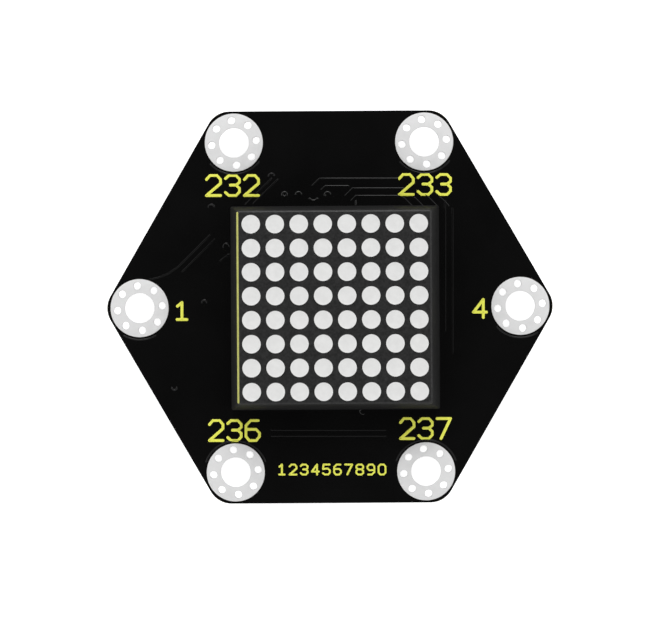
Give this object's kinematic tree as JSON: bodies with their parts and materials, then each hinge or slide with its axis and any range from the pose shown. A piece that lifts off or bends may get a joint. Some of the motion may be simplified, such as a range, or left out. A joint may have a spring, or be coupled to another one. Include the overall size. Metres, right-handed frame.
{
  "type": "led dot matrix display board",
  "caption": "Hexagonal black circuit board with ring terminals near its corners, a raised square LED dot matrix display in the middle and its driver chip on the back.",
  "frame": {"origin": "centre of the circle through the six terminal holes, on the circuit board's back face", "axes": "+Z out of the display face, +X through the terminal at the right-hand corner, +Y towards the two upper terminals"},
  "size_m": [0.0468, 0.0412, 0.0101],
  "materials": {
    "solder_mask": "semi-gloss black solder mask on glass-fibre laminate",
    "tinned_copper": "satin tin plate on copper",
    "housing_plastic": "fine matte moulding",
    "diffusing_resin": "smooth milky resin",
    "led_die": "sawn crystal",
    "white_laminate": "white mask on laminate",
    "potting_resin": "smooth poured resin",
    "tinned_wire": "bright tin plate",
    "solder": "bright solder",
    "moulding_epoxy": "fine matte moulding",
    "tinned_lead": "satin tin plate",
    "capacitor_ceramic": "fired ceramic",
    "resistor_ceramic": "glazed film on white ceramic",
    "tinned_end": "satin tin plate"
  },
  "bodies": {
    "root": {"circuit_board": "solder_mask", "terminal_right": "tinned_copper", "terminal_upper_right": "tinned_copper", "terminal_upper_left": "tinned_copper", "terminal_left": "tinned_copper", "terminal_lower_left": "tinned_copper", "terminal_lower_right": "tinned_copper", "display_housing": "housing_plastic", "window_castings": "diffusing_resin", "led_dies": "led_die", "display_carrier": "white_laminate", "display_potting": "potting_resin", "display_pin_01": "tinned_wire", "display_pin_02": "tinned_wire", "display_pin_03": "tinned_wire", "display_pin_04": "tinned_wire", "display_pin_05": "tinned_wire", "display_pin_06": "tinned_wire", "display_pin_07": "tinned_wire", "display_pin_08": "tinned_wire", "display_pin_09": "tinned_wire", "display_pin_10": "tinned_wire", "display_pin_11": "tinned_wire", "display_pin_12": "tinned_wire", "display_pin_13": "tinned_wire", "display_pin_14": "tinned_wire", "display_pin_15": "tinned_wire", "display_pin_16": "tinned_wire", "pin_solder": "solder", "driver_package": "moulding_epoxy", "driver_leads_left": "tinned_lead", "driver_leads_right": "tinned_lead", "bypass_capacitor_body": "capacitor_ceramic", "bypass_capacitor_ends": "tinned_end", "bulk_capacitor_body": "capacitor_ceramic", "bulk_capacitor_ends": "tinned_end", "data_resistor_body": "resistor_ceramic", "data_resistor_ends": "tinned_end", "clock_resistor_body": "resistor_ceramic", "clock_resistor_ends": "tinned_end"}
  },
  "joints": []
}
